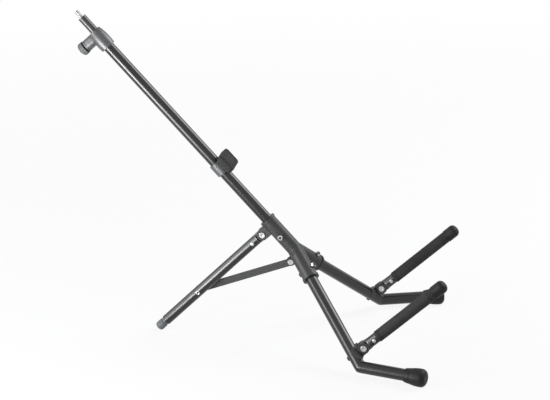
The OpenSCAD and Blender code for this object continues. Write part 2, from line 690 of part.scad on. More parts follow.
// The rubber face that the cabinet's back leans on
module backrest_pad() color("#202022") on_mast() translate([0, 0, backrest_rise]) difference() {
    rotate([90, 0, 0]) translate([0, 0, backrest_front - 13]) hull()
        for (x = [-1, 1], y = [-1, 1]) translate([x * (backrest_w / 2 - 8), y * (backrest_h / 2 - 8), 0])
            cylinder(r = 8, h = 13, $fn = 32);
    translate([-backrest_w / 2 + 4 - seat_gap, -backrest_front + 10 - seat_gap, -backrest_h / 2 + 4 - seat_gap])
        cube([backrest_w - 8 + 2 * seat_gap, 5, backrest_h - 8 + 2 * seat_gap]);
}

hub_casting();
hub_bolts();
hub_nuts();
mast_tube();
slide_tube();
slide_guide();
stud_plug();
threaded_stud();
clamp_collar();
clamp_nut();
clamp_shoe();
clamp_screw();
clamp_knob();
left_front_leg();
right_front_leg();
left_foot_cap();
right_foot_cap();
left_arm_bracket();
right_arm_bracket();
arm_bracket_bolts();
left_arm_pin();
right_arm_pin();
left_arm_knuckle();
right_arm_knuckle();
left_arm_rivet();
right_arm_rivet();
left_arm_tube();
right_arm_tube();
left_arm_sleeve();
right_arm_sleeve();
left_arm_cap();
right_arm_cap();
rear_pivot_pin();
rear_leg_knuckle();
rear_leg_rivet();
rear_leg_tube();
rear_leg_plug();
brace_rivet();
brace_washer();
brace_strap();
brace_pivot_pin();
backrest_clip();
backrest_pad();
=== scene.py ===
import bmesh
import bpy
import json
import numpy as np
from mathutils import Matrix


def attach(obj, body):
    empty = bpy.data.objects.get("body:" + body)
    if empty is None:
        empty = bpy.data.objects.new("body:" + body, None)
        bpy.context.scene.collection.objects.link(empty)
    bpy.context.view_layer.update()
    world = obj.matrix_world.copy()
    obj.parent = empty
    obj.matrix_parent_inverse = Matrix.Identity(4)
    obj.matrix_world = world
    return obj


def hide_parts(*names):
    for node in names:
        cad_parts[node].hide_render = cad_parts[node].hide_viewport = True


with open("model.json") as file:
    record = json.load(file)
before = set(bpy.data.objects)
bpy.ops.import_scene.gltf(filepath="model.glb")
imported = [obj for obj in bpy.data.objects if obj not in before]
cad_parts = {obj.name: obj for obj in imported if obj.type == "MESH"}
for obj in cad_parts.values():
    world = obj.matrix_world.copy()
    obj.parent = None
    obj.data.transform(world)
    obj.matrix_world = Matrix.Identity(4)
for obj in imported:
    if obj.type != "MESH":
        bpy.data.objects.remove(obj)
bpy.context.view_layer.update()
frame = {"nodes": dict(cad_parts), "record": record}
print("frame in,", len(frame["nodes"]), "solids")

# places, in mm, as the solids have them
stance = dict(recline=41.8, lean=46.1, hubY=-12.7881, hubZ=250.2430, crossing=70.0, legRun=311.0,
              bendX=183.0, splay=16.5, armY=-28.5, armZ=-287.5)
turn = np.radians(stance["recline"])
spread = np.radians(180 - stance["recline"] - stance["lean"])


def onMast(p):
    # x across, y to the rear of the mast, z up the mast -> metres in the stand's frame
    y = stance["hubY"] + p[..., 1] * np.cos(turn) + p[..., 2] * np.sin(turn)
    z = stance["hubZ"] - p[..., 1] * np.sin(turn) + p[..., 2] * np.cos(turn)
    return np.stack([p[..., 0], y, z], -1) / 1000


def onRearLeg(p):
    # z runs down the rear leg from the mast's line
    y = p[..., 1] * np.cos(spread) + p[..., 2] * np.sin(spread)
    z = -p[..., 1] * np.sin(spread) + p[..., 2] * np.cos(spread)
    return onMast(np.stack([p[..., 0], y, z], -1))


fan = np.arctan2(stance["bendX"], stance["legRun"] - stance["crossing"])
armX = stance["bendX"] - (stance["legRun"] + stance["armZ"]) * np.tan(fan)


def onArm(side):
    # z runs out along a support arm from its pin, y is up
    def place(p):
        y, z = stance["armY"] - p[..., 2], stance["armZ"] + p[..., 1]
        return onMast(np.stack([side * armX + p[..., 0], y, z], -1))
    return place


def onFrontLeg(side):
    # z runs down a front leg from where the legs' lines cross, y to the rear
    def place(p):
        x = side * (p[..., 0] * np.cos(fan) + p[..., 2] * np.sin(fan))
        z = -stance["crossing"] + p[..., 0] * np.sin(fan) - p[..., 2] * np.cos(fan)
        return onMast(np.stack([x, p[..., 1], z], -1))
    return place


splay = np.radians(stance["splay"])
bendAt = onMast(np.array([0, 0, -stance["legRun"]])) * 1000
footLine = np.array([np.sin(splay), -np.cos(splay), 0])


def onFoot(side):
    # z runs out along a foot from its bend, y is up
    def place(p):
        across = np.array([np.cos(splay), np.sin(splay), 0])
        q = np.array([stance["bendX"], bendAt[1], bendAt[2]]) + p[..., :1] * across
        q = q + p[..., 1:2] * np.array([0, 0, 1]) + p[..., 2:3] * footLine
        return q * np.array([side, 1, 1]) / 1000
    return place


def alongX(place, at):
    # turns a shape drawn round z so that it lies along x, about the point at
    def put(p):
        q = np.stack([p[..., 2], p[..., 0], p[..., 1]], -1) + np.array(at)
        return place(q)
    return put


def alongY(place, at):
    # the same, along the place's own y
    def put(p):
        q = np.stack([p[..., 0], p[..., 2], p[..., 1]], -1) + np.array(at)
        return place(q)
    return put


# surfaces: grids of points made into meshes
def rounded(points, radius, steps=5):
    # a profile whose inner corners b become short curves (1 - t)^2 p + 2 t (1 - t) b + t^2 q, where p and q
    # lie on either side of b
    pts = np.array(points, float)
    out = [pts[:1]]
    t = np.linspace(0, 1, steps)[:, None]
    for a, b, c in zip(pts[:-2], pts[1:-1], pts[2:]):
        da, dc = a - b, c - b
        r = min(radius, 0.45 * np.linalg.norm(da), 0.45 * np.linalg.norm(dc))
        p, q = b + da / np.linalg.norm(da) * r, b + dc / np.linalg.norm(dc) * r
        out.append((1 - t) ** 2 * p + 2 * t * (1 - t) * b + t ** 2 * q)
    out.append(pts[-1:])
    return np.concatenate(out)


def gridFaces(rows, cols):
    # rows of points join into quads, and the two points after them close the first and the last row by fans
    i, j = np.meshgrid(np.arange(rows - 1), np.arange(cols), indexing="ij")
    k = (j + 1) % cols
    quads = np.stack([i * cols + j, i * cols + k, (i + 1) * cols + k, (i + 1) * cols + j], -1)
    c = np.arange(cols)
    lastRow = (rows - 1) * cols
    low = np.stack([np.full(cols, rows * cols), (c + 1) % cols, c], -1)
    high = np.stack([np.full(cols, rows * cols + 1), lastRow + c, lastRow + (c + 1) % cols], -1)
    return quads.reshape(-1, 4), low, high


def finishPiece(name, mesh, body, slotName, stands, sharp):
    # signed volume tells whether the faces point in, and they are turned where they do
    mesh.validate()
    co = np.zeros(len(mesh.vertices) * 3)
    mesh.vertices.foreach_get("co", co)
    co = co.reshape(-1, 3)
    mesh.calc_loop_triangles()
    tri = np.zeros(len(mesh.loop_triangles) * 3, int)
    mesh.loop_triangles.foreach_get("vertices", tri)
    a, b, c = co[tri.reshape(-1, 3)].transpose(1, 0, 2)
    if np.einsum("ij,ij->i", a, np.cross(b, c)).sum() < 0:
        mesh.flip_normals()
    mesh.shade_smooth()
    mesh.set_sharp_from_angle(angle=np.radians(sharp))
    piece = bpy.data.objects.new(name, mesh)
    bpy.context.scene.collection.objects.link(piece)
    mesh.materials.append(finishes[slotName])
    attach(piece, body)
    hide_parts(*stands)
    return piece


def joined(name, grids, body, slotName, stands, sharp=38):
    # grids of points in one mesh, each closed at both ends
    verts, faces = [], []
    start = 0
    for grid in grids:
        flat = np.concatenate([grid.reshape(-1, 3), grid[0].mean(0)[None], grid[-1].mean(0)[None]])
        for part in gridFaces(*grid.shape[:2]):
            faces += (part + start).tolist()
        verts.append(flat)
        start += len(flat)
    mesh = bpy.data.meshes.new(name)
    mesh.from_pydata(np.concatenate(verts).tolist(), [], faces)
    return finishPiece(name, mesh, body, slotName, stands, sharp)


def shell(name, grid, body, slotName, stands, sharp=38):
    # one such grid
    return joined(name, [grid], body, slotName, stands, sharp)


def turned(profile, place, around=72, shape=None):
    # a profile of (z, radius) carried once round z; shape(angle, z, radius) may vary the radius
    angle = np.linspace(0, 2 * np.pi, around, endpoint=False)[None, :]
    z, r = profile[:, 0][:, None], profile[:, 1][:, None]
    rr = np.maximum(shape(angle, z, r) if shape else r + 0 * angle, 1e-4)
    return place(np.stack([rr * np.cos(angle), rr * np.sin(angle), z + 0 * angle], -1))


def ringPiece(name, grid, body, slotName, stands, sharp=38):
    # a closed profile carried round: the last row joins the first, so no cap is needed
    rows, cols = grid.shape[:2]
    i, j = np.meshgrid(np.arange(rows), np.arange(cols), indexing="ij")
    ii, jj = (i + 1) % rows, (j + 1) % cols
    quads = np.stack([i * cols + j, i * cols + jj, ii * cols + jj, ii * cols + j], -1)
    mesh = bpy.data.meshes.new(name)
    mesh.from_pydata(grid.reshape(-1, 3).tolist(), [], quads.reshape(-1, 4).tolist())
    return finishPiece(name, mesh, body, slotName, stands, sharp)


def evenly(profile, step):
    # the profile with extra points, so that none of its spans is longer than step
    out = [profile[:1]]
    for a, b in zip(profile[:-1], profile[1:]):
        n = max(1, int(np.ceil(np.linalg.norm(b - a) / step)))
        out.append(a + (b - a) * (np.arange(1, n + 1) / n)[:, None])
    return np.concatenate(out)


# shader maths
class Signal:
    # a socket with arithmetic: each operator adds one Math node
    def __init__(self, wiring, out):
        self.wiring, self.out = wiring, out

    def __add__(self, other): return self.wiring.maths("ADD", self, other)
    def __radd__(self, other): return self.wiring.maths("ADD", other, self)
    def __sub__(self, other): return self.wiring.maths("SUBTRACT", self, other)
    def __rsub__(self, other): return self.wiring.maths("SUBTRACT", other, self)
    def __mul__(self, other): return self.wiring.maths("MULTIPLY", self, other)
    def __rmul__(self, other): return self.wiring.maths("MULTIPLY", other, self)
    def __truediv__(self, other): return self.wiring.maths("DIVIDE", self, other)
    def __rtruediv__(self, other): return self.wiring.maths("DIVIDE", other, self)


class Wiring:
    # makes the nodes of one tree
    def __init__(self, tree):
        self.tree = tree

    def node(self, kind, settings=None, inputs=None, out=0):
        # settings first, where a ramp's stops are (place, grey), then a value or a link for each socket
        made = self.tree.nodes.new(kind)
        for key, value in (settings or {}).items():
            if key == "stops":
                ramp = made.color_ramp.elements
                while len(ramp) < len(value):
                    ramp.new(0.5)
                for element, (at, shade) in zip(ramp, value):
                    element.position = at
                    element.color = (shade, shade, shade, 1)
            else:
                setattr(made, key, value)
        for key, value in (inputs or {}).items():
            if isinstance(value, Signal):
                self.tree.links.new(value.out, made.inputs[key])
            else:
                made.inputs[key].default_value = value
        return Signal(self, made.outputs[out]) if made.outputs else None

    def maths(self, operation, a, b):
        return self.node("ShaderNodeMath", {"operation": operation}, {0: a, 1: b})


class Paint(Wiring):
    # a material and the patterns that its finish is built from
    def __init__(self, name):
        self.material = bpy.data.materials.new(name)
        self.material.use_nodes = True
        super().__init__(self.material.node_tree)
        self.shader = self.tree.nodes["Principled BSDF"]
        self.coords = self.node("ShaderNodeTexCoord", out="Object")

    def noise(self, scale, detail=3, rough=0.5, stretch=(1, 1, 1)):
        # scale is in waves per metre, and a stretch below 1 draws the pattern out along that axis
        where = self.node("ShaderNodeMapping", {}, {"Vector": self.coords, "Scale": stretch})
        inputs = {"Vector": where, "Scale": scale, "Detail": detail, "Roughness": rough}
        return self.node("ShaderNodeTexNoise", {}, inputs)

    def ramp(self, fac, stops):
        return self.node("ShaderNodeValToRGB", {"stops": stops}, {"Fac": fac})

    def patches(self, fac, clear, full):
        # 0 where fac is under clear, 1 where it is over full
        return self.ramp(fac, [(clear, 0), (full, 1)])

    def blend(self, fac, a, b):
        # colour a where fac is 0, b where it is 1
        return self.node("ShaderNodeMix", {"data_type": "RGBA"}, {0: fac, 6: a, 7: b}, out=2)

    def bump(self, height, strength, distance, under=None):
        # a height pattern, distance in metres, laid over another bump where under gives one
        inputs = {"Height": height, "Strength": strength, "Distance": distance}
        if under:
            inputs["Normal"] = under
        return self.node("ShaderNodeBump", {}, inputs)

    def set(self, **sockets):
        # values and links for the shader
        for key, value in sockets.items():
            name = {"color": "Base Color", "rough": "Roughness", "metal": "Metallic", "normal": "Normal",
                    "specular": "Specular IOR Level"}[key]
            if isinstance(value, Signal):
                self.tree.links.new(value.out, self.shader.inputs[name])
            else:
                self.shader.inputs[name].default_value = value
        return self.material


def tint(grey, warm=0.0):
    # a grey, a little warmer or, below zero, cooler
    return (grey * (1 + warm), grey, grey * (1 - warm), 1)


# finishes
def glossPaint(name, opts):
    # enamel on drawn tube: faint orange peel, soft rub marks, sparse pinpoint dust
    p = Paint(name)
    peel = p.noise(opts["peelScale"], detail=2, rough=0.4)
    drift = p.noise(18)
    rubs = p.patches(p.noise(60, detail=6, rough=0.7, stretch=(1, 0.35, 0.35)), clear=0.56, full=0.72)
    dust = p.patches(p.noise(2600, detail=0), clear=0.78, full=0.84)
    color = p.blend(drift, tint(opts["dark"]), tint(opts["light"]))
    color = p.blend(rubs * 0.25, color, tint(opts["rub"]))
    color = p.blend(dust * 0.4, color, tint(0.12, warm=0.04))
    rough = opts["rough"] + rubs * 0.04 + dust * 0.15 + (drift - 0.5) * 0.05
    return p.set(color=color, rough=rough, specular=opts["specular"],
                 normal=p.bump(peel, strength=opts["peel"], distance=0.00012))


def castPaint(name, opts):
    # powder coat on a casting: fine pebble, a slow ripple from the mould
    p = Paint(name)
    pebble = p.noise(opts["grain"], detail=2, rough=0.6)
    ripple = p.bump(p.noise(70, detail=2), strength=0.25, distance=0.0009)
    shade = p.ramp(p.noise(24, detail=4), [(0.3, opts["dark"]), (0.7, opts["light"])])
    rubs = p.patches(p.noise(110, detail=5, rough=0.75), clear=0.62, full=0.74)
    color = p.blend(rubs * 0.3, shade, tint(opts["rub"]))
    return p.set(color=color, rough=opts["rough"] + rubs * -0.08 + pebble * 0.1, specular=0.45,
                 normal=p.bump(pebble, strength=0.35, distance=0.0002, under=ripple))


def mouldedPlastic(name, opts):
    # spark-eroded mould texture with a slightly polished drift
    p = Paint(name)
    grain = p.noise(opts["grain"], rough=0.65)
    color = p.blend(p.noise(30), tint(opts["dark"], opts["warm"]), tint(opts["light"], opts["warm"]))
    scuff = p.patches(p.noise(160, detail=6, rough=0.8, stretch=(1, 1, 0.3)), clear=0.64, full=0.75)
    color = p.blend(scuff * 0.35, color, tint(opts["rub"]))
    return p.set(color=color, rough=opts["rough"] + grain * 0.05 - scuff * 0.05, specular=opts["specular"],
                 normal=p.bump(grain, strength=opts["bump"], distance=0.00018))


def rubberSkin(name, opts):
    # matte rubber: fine pits, pale dust that gathers in broad patches
    p = Paint(name)
    pits = p.noise(1500, rough=0.6)
    bloom = p.patches(p.noise(34, detail=5, rough=0.65), clear=0.42, full=0.72)
    dark, light = tint(opts["dark"], opts["warm"]), tint(opts["light"], opts["warm"])
    return p.set(color=p.blend(bloom * opts["bloom"], dark, light), rough=opts["rough"] + bloom * 0.1,
                 specular=opts["specular"], normal=p.bump(pits, strength=0.3, distance=0.00025))


def platedSteel(name, opts):
    # bright or satin plating over fine machining lines
    p = Paint(name)
    lines = p.noise(opts["lines"], detail=4, rough=0.7, stretch=opts["stretch"])
    cloud = p.noise(90, detail=4)
    color = p.blend(cloud, tint(opts["dark"], opts["warm"]), tint(opts["light"], opts["warm"]))
    return p.set(color=color, metal=1.0, rough=opts["rough"] + lines * 0.14 + (cloud - 0.5) * 0.08,
                 normal=p.bump(lines, strength=0.12, distance=0.0001))


def flatBarPaint(name, opts):
    # dark satin paint on rolled bar: long faint rolling lines and rubbed patches
    p = Paint(name)
    rolled = p.noise(420, detail=4, rough=0.6, stretch=(1, 0.12, 0.12))
    rubs = p.patches(p.noise(130, detail=6, rough=0.8), clear=0.6, full=0.75)
    color = p.blend(p.noise(40, detail=4), tint(opts["dark"]), tint(opts["light"]))
    color = p.blend(rubs * 0.3, color, tint(opts["rub"]))
    return p.set(color=color, rough=opts["rough"] + rolled * 0.12 + rubs * 0.05, specular=0.5,
                 normal=p.bump(rolled, strength=0.15, distance=0.00015))


def nylonSheen(name, opts):
    # unpainted white nylon, slightly clouded
    p = Paint(name)
    cloud = p.noise(120)
    color = p.blend(cloud, tint(opts["dark"], opts["warm"]), tint(opts["light"], opts["warm"]))
    return p.set(color=color, rough=opts["rough"] + cloud * 0.1, specular=0.5,
                 normal=p.bump(p.noise(1800, detail=2), strength=0.12, distance=0.0001))


looks = {
    "coat": dict(dark=0.004, light=0.007, rub=0.02, rough=0.27, peelScale=260, peel=0.02, specular=0.5),
    "slide": dict(dark=0.014, light=0.022, rub=0.05, rough=0.26, peelScale=300, peel=0.02, specular=0.6),
    "cast": dict(dark=0.016, light=0.026, rub=0.06, rough=0.42, grain=1300),
    "plastic": dict(dark=0.022, light=0.03, rub=0.06, rough=0.4, grain=700, bump=0.03, specular=1.0,
                    warm=-0.06),
    "knob": dict(dark=0.06, light=0.08, rub=0.12, rough=0.52, grain=900, bump=0.08, specular=0.45,
                 warm=-0.02),
    "rubber": dict(dark=0.006, light=0.022, bloom=0.45, rough=0.5, specular=0.22, warm=0.015),
    "foam": dict(dark=0.016, light=0.045, bloom=0.4, rough=0.74, specular=0.3, warm=0.015),
    "plug": dict(dark=0.085, light=0.15, bloom=0.6, rough=0.55, specular=0.4, warm=-0.04),
    "zinc": dict(dark=0.36, light=0.5, warm=0.01, rough=0.28, lines=900, stretch=(1, 1, 4)),
    "bright": dict(dark=0.42, light=0.55, warm=0.01, rough=0.24, lines=1400, stretch=(1, 1, 5)),
    "brass": dict(dark=0.34, light=0.46, warm=0.35, rough=0.25, lines=1200, stretch=(1, 1, 4)),
    "dark_steel": dict(dark=0.018, light=0.027, rub=0.05, rough=0.5),
    "nylon": dict(dark=0.52, light=0.62, warm=0.03, rough=0.42),
}
makers = {
    "coat": (glossPaint, "tubeEnamel"), "slide": (glossPaint, "slideTubeEnamel"),
    "cast": (castPaint, "hubPowderCoat"), "plastic": (mouldedPlastic, "collarPlastic"),
    "knob": (mouldedPlastic, "knobPlastic"), "rubber": (rubberSkin, "capRubber"),
    "foam": (rubberSkin, "sleeveRubber"), "plug": (rubberSkin, "plugRubber"),
    "zinc": (platedSteel, "zincPlate"), "bright": (platedSteel, "nickelPlate"),
    "brass": (platedSteel, "turnedBrass"), "dark_steel": (flatBarPaint, "barPaint"),
    "nylon": (nylonSheen, "nylon"),
}
finishes = {slot: make(name, looks[slot]) for slot, (make, name) in makers.items()}
slotOf = {s["node"]: s["material_slot"] for s in frame["record"]["subparts"]}
for nodeName, solid in frame["nodes"].items():
    solid.data.materials.clear()
    solid.data.materials.append(finishes[slotOf[nodeName]])
print("finishes on", len(finishes), "slots")


# camera and studio
view = dict(at=(-3.44702, -0.61918, 1.50014), right=(0.16604, -0.98598, -0.01661),
            up=(0.32116, 0.03815, 0.94626), back=(-0.93235, -0.16245, 0.32299), lens=115.73)
cameraData = bpy.data.cameras.new("photoCamera")
cameraData.lens, cameraData.sensor_width, cameraData.sensor_fit = view["lens"], 36, "HORIZONTAL"
cameraData.clip_start, cameraData.clip_end = 0.1, 60
camera = bpy.data.objects.new("photoCamera", cameraData)
axes = np.array([view["right"], view["up"], view["back"]]).T
square, signs = np.linalg.qr(axes)  # exactly square axes
pose = np.eye(4)
pose[:3, :3], pose[:3, 3] = square * np.sign(np.diag(signs)), view["at"]
camera.matrix_world = Matrix(pose.tolist())
bpy.context.scene.collection.objects.link(camera)
bpy.context.scene.camera = camera
bpy.context.scene.view_settings.view_transform = "Standard"

lamps = dict(
    lineBox=dict(at=(-0.95, 0.75, 0.17), aim=(0, 0.2, 0.1), size=(0.22, 0.3), watts=10),
    tallBox=dict(at=(-1.5, 1.9, 0.8), aim=(0, 0, 0.3), size=(0.6, 1.6), watts=26),
    floorGlow=dict(at=(-1.0, 0.68, 0.03), aim=(-0.9, 0.68, 1.0), size=(0.7, 1.6), watts=46),
    frontTop=dict(at=(1.0, -1.75, 2.0), aim=(0, 0.1, 0.4), size=(1.4, 1.4), watts=50),
    backFill=dict(at=(-0.6, 2.4, 1.2), aim=(0, 0.1, 0.2), size=(1.6, 1.0), watts=20),
)
studio = dict(lampColor=(0.97, 0.985, 1), airColor=(0.96, 0.98, 1, 1), airStrength=0.26, white=(1, 1, 1, 1),
              floorGrey=0.86, floorHalf=14, nearLift=0.9, liftFrom=0.8, liftOver=2.4)


def softbox(name, at, aim, size, watts):
    # an area lamp that looks from at towards aim and stays out of the camera's sight
    lamp = bpy.data.lights.new(name, "AREA")
    lamp.shape, lamp.size, lamp.size_y, lamp.energy = "RECTANGLE", size[0], size[1], watts
    lamp.color = studio["lampColor"]
    box = bpy.data.objects.new(name, lamp)
    z = np.array(at, float) - np.array(aim, float)
    z /= np.linalg.norm(z)
    x = np.cross([0, 0, 1], z)
    x /= np.linalg.norm(x)
    m = np.eye(4)
    m[:3, 0], m[:3, 1], m[:3, 2], m[:3, 3] = x, np.cross(z, x), z, at
    box.matrix_world = Matrix(m.tolist())
    box.visible_camera = False
    bpy.context.scene.collection.objects.link(box)


def whereWhite(wiring):
    # 1 for rays that show the background: from the camera, off gloss and through glass
    seen, gloss, through = (wiring.node("ShaderNodeLightPath", out="Is %s Ray" % kind)
                            for kind in ("Camera", "Glossy", "Transmission"))
    return wiring.maths("MAXIMUM", wiring.maths("MAXIMUM", seen, gloss), through)


for name, lamp in lamps.items():
    softbox(name, **lamp)

world = bpy.data.worlds.new("studio")
bpy.context.scene.world = world
world.use_nodes = True
for old in list(world.node_tree.nodes):
    world.node_tree.nodes.remove(old)
air = Wiring(world.node_tree)
dim = air.node("ShaderNodeBackground", {}, {"Color": studio["airColor"], "Strength": studio["airStrength"]})
white = air.node("ShaderNodeBackground", {}, {"Color": studio["white"], "Strength": 1.0})
background = air.node("ShaderNodeMixShader", {}, {0: whereWhite(air), 1: dim, 2: white})
air.node("ShaderNodeOutputWorld", {}, {"Surface": background})

floorMesh = bpy.data.meshes.new("floor")
half = studio["floorHalf"]
corners = [(-half, -half, 0), (half, -half, 0), (half, half, 0), (-half, half, 0)]
floorMesh.from_pydata(corners, [], [(0, 1, 2, 3)])
floor = bpy.data.objects.new("floor", floorMesh)
bpy.context.scene.collection.objects.link(floor)
floorPaint = Paint("floorPaint")
glow = floorPaint.node("ShaderNodeEmission", {}, {"Color": studio["white"], "Strength": 1.0})
bare = floorPaint.node("ShaderNodeBsdfDiffuse", {}, {"Color": tint(studio["floorGrey"])})
# the lift grows with the distance from the stand, so that the floor runs into the white without an edge
away = floorPaint.node("ShaderNodeVectorMath", {"operation": "LENGTH"}, {0: floorPaint.coords}, out="Value")
rise = (away - studio["liftFrom"]) / studio["liftOver"]
share = floorPaint.maths("MINIMUM", studio["nearLift"] + (1 - studio["nearLift"]) * rise, 1.0)
both = floorPaint.node("ShaderNodeMixShader", {}, {0: whereWhite(floorPaint) * share, 1: bare, 2: glow})
floorPaint.tree.links.new(both.out, floorPaint.tree.nodes["Material Output"].inputs["Surface"])
floorMesh.materials.append(floorPaint.material)
print("camera and studio up")


# front legs: one smooth bent tube each
legTube = dict(radius=12.5, crease=0.6, hinge=13.1, start=26.0, end=134.5, around=64,
               legRows=24, bendRows=25, footRows=12)


def bentTube(side):
    # straight run, pressed elbow, straight run; in the elbow the section turns about a line just inside
    # the bend and its far side moves out by 1 + crease * (1 / cos(s) - 1), which is a mitre at crease = 1
    legDir = np.array([-np.sin(fan), 0, np.cos(fan)])  # from the right bend back to the hub
    up = onMast(legDir) - onMast(np.zeros(3))
    up /= np.linalg.norm(up)
    out = footLine / np.linalg.norm(footLine)
    swing = np.pi - np.arccos(up @ out)
    tangent = legTube["hinge"] * np.tan(swing / 2)
    legLength = np.hypot(stance["bendX"], stance["legRun"] - stance["crossing"])
    normal = up - out * (up @ out)
    normal /= np.linalg.norm(normal)  # points from the foot's line towards the leg
    side1 = np.cross(out, normal)
    corner = np.array([stance["bendX"], bendAt[1], bendAt[2]])
    hingeAt = corner + out * tangent + normal * legTube["hinge"]
    down = np.linspace(legLength - legTube["start"], tangent, legTube["legRows"])
    forward = np.linspace(tangent, legTube["end"], legTube["footRows"])
    runs = [(corner + up * d, up * -1, 1) for d in down]
    for s in np.linspace(swing, 0, legTube["bendRows"])[1:-1]:
        direction = out * np.cos(s) - normal * np.sin(s)
        spot = hingeAt - legTube["hinge"] * (normal * np.cos(s) + out * np.sin(s))
        runs.append((spot, direction, 1 + legTube["crease"] * (1 / np.cos(min(s, swing - s)) - 1)))
    runs += [(corner + out * d, out, 1) for d in forward]
    ring = np.linspace(0, 2 * np.pi, legTube["around"], endpoint=False)[:, None]
    rows = []
    for spot, direction, stretch in runs:
        lift = np.cross(side1, direction)
        pushed = (stretch - 1) * (legTube["hinge"] - legTube["radius"] * np.sin(ring))
        rows.append(spot + legTube["radius"] * (np.cos(ring) * side1 + np.sin(ring) * lift) - pushed * lift)
    return np.array(rows) * np.array([side, 1, 1]) / 1000


for side, word in ((-1, "left"), (1, "right")):
    shell(word + "FrontLegTube", bentTube(side), "frame", "coat", [word + "_front_leg"])
print("front legs bent")

# rubber: feet, plug, arm sleeves and caps
footCap = dict(mouth=-34.0, front=11.5, mouthRadius=14.5, bigRadius=18.8, corner=11.0, reach=132.0)


def flatSole(points):
    # rubber below the floor is pressed flat onto it
    points[..., 2] = np.maximum(points[..., 2], 0.0)
    return points


def footProfile():
    # from inside the mouth over the lip, up the cone, over its shoulder and round the nose
    m, f, r, c = footCap["mouth"], footCap["front"], footCap["bigRadius"], footCap["corner"]
    lip = footCap["mouthRadius"]
    body = rounded([(2.6, 0.1), (2.6, 12.6), (m, 12.6), (m, lip - 0.7), (m + 0.9, lip),
                    (m + 11.4, lip + 1.75), (m + 12.0, lip + 1.35), (m + 13.2, lip + 1.5),
                    (m + 13.8, lip + 2.2), (-12, 18.2), (-4, r), (f - c, r)], 1.6)
    arc = np.linspace(0, np.pi / 2, 14)[1:]
    nose = np.stack([f - c + c * np.sin(arc), r - c + c * np.cos(arc)], -1)
    profile = np.concatenate([body, nose, [(f, 6.2), (f - 0.5, 5.7), (f - 0.5, 0.1)]])
    profile[:, 0] += footCap["reach"]
    return evenly(profile, 1.2)


for side, word in ((-1, "left"), (1, "right")):
    cap = flatSole(turned(footProfile(), onFoot(side), 96))
    shell(word + "FootCap", cap, "frame", "rubber", [word + "_foot_cap"])

plugLook = dict(tubeEnd=329.4651, total=353.4651, inTube=9.3, neck=7.8, head=10.0, groove=9.65, corner=4.0)


def plugProfile():
    # up inside the tube, in to a neck, out to the head with one groove, and a quarter round to the nose
    t, e, head, c = plugLook["total"], plugLook["tubeEnd"], plugLook["head"], plugLook["corner"]
    inTube, neck, groove = plugLook["inTube"], plugLook["neck"], plugLook["groove"]
    arc = np.linspace(0, np.pi / 2, 9)
    nose = np.stack([t - c + c * np.sin(arc), head - c + c * np.cos(arc)], -1)
    start = np.array([(e - 22, inTube), (e - 0.2, inTube), (e - 0.1, neck), (e + 4.2, neck),
                      (e + 6.8, 9.7), (e + 7.6, head), (e + 10.4, head), (e + 10.8, groove),
                      (e + 11.6, groove), (e + 12.0, head)])
    return evenly(np.concatenate([start, nose]), 1.2)


shell("rearPlug", flatSole(turned(plugProfile(), onRearLeg)), "rear_leg", "plug", ["rear_leg_plug"])

armRubber = dict(sleeveStart=37.0, sleeveEnd=187.4, capStart=187.5, tip=217.5, radius=12.5, capRadius=13.5)


def sleeveProfile():
    # a long grip sleeve with two narrow grooves near each end
    a, b, r = armRubber["sleeveStart"], armRubber["sleeveEnd"], armRubber["radius"]
    p = [(a, 11.1), (a, r - 0.5), (a + 0.8, r)]
    for z in (a + 6, a + 10, b - 11, b - 7):
        p += [(z, r), (z + 0.5, r - 0.7), (z + 1.5, r - 0.7), (z + 2, r)]
    p += [(b - 0.8, r), (b, r - 0.5), (b, 11.1)]
    return np.array(p)


def capProfile():
    # over the tube's end, out to the rim, one groove, then a quarter round to a flat tip
    a, t, r = armRubber["capStart"], armRubber["tip"], armRubber["capRadius"]
    arc = np.linspace(0, np.pi / 2, 12)
    nose = np.stack([t - 10 + 10 * np.sin(arc), r - 10 + 10 * np.cos(arc)], -1)
    p = np.array([(t - 4.9, 0.1), (t - 4.9, 11.1), (a, 11.1), (a, r - 1.0), (a + 1.0, r), (a + 5, r),
                  (a + 5.4, r - 0.35), (a + 6.2, r - 0.35), (a + 6.6, r)])
    return evenly(np.concatenate([p, nose, [[t, 0.1]]]), 1.5)


for side, word in ((-1, "left"), (1, "right")):
    arm = word + "_arm"
    ringPiece(word + "ArmSleeve", turned(sleeveProfile(), onArm(side), 64), arm, "foam", [arm + "_sleeve"])
    shell(word + "ArmCap", turned(capProfile(), onArm(side), 64), arm, "rubber", [arm + "_cap"])
print("rubber parts turned")

# mast top: stud thread, knob
stud = dict(foot=568.0, base=587.0, tip=604.0, major=4.7625, pitch=1.5875, depth=0.97, shank=3.76,
            rowStep=0.12)


def threadRadius(angle, z, r):
    # a trapezoid wave of z / pitch - angle / turn, faded out at the foot and cut by the tip's chamfer
    phase = (z / stud["pitch"] - angle / (2 * np.pi)) % 1.0
    wave = np.clip(np.abs(phase - 0.5) * 3.2 - 0.3, 0, 1)
    fade = np.clip((z - stud["base"] - 1.3) / 1.0, 0, 1)
    rr = stud["major"] - stud["depth"] * (fade * wave + (1 - fade))
    tipCut = stud["major"] - np.clip(z - (stud["tip"] - 1.2), 0, 2) * 0.95
    return np.minimum(np.minimum(rr, tipCut), np.where(z < stud["base"], stud["shank"], np.inf))


def studProfile():
    # rows up the stud, close together over the thread; threadRadius gives the radius
    foot, base, tip = stud["foot"], stud["base"], stud["tip"]
    threadRows = np.arange(base + 0.1, tip - 0.04, stud["rowStep"])
    z = np.concatenate([[foot, foot + 4, foot + 12, base - 0.2], threadRows, [tip]])
    return np.stack([z, np.full(len(z), stud["shank"])], -1)


threaded = turned(studProfile(), onMast, shape=threadRadius)
shell("boomStud", threaded, "extension", "bright", ["threaded_stud"], 50)

knob = dict(z=536.6, start=37.5, thick=13.3, radius=14.0, flutes=24, fluteDepth=0.55, fluted=11)


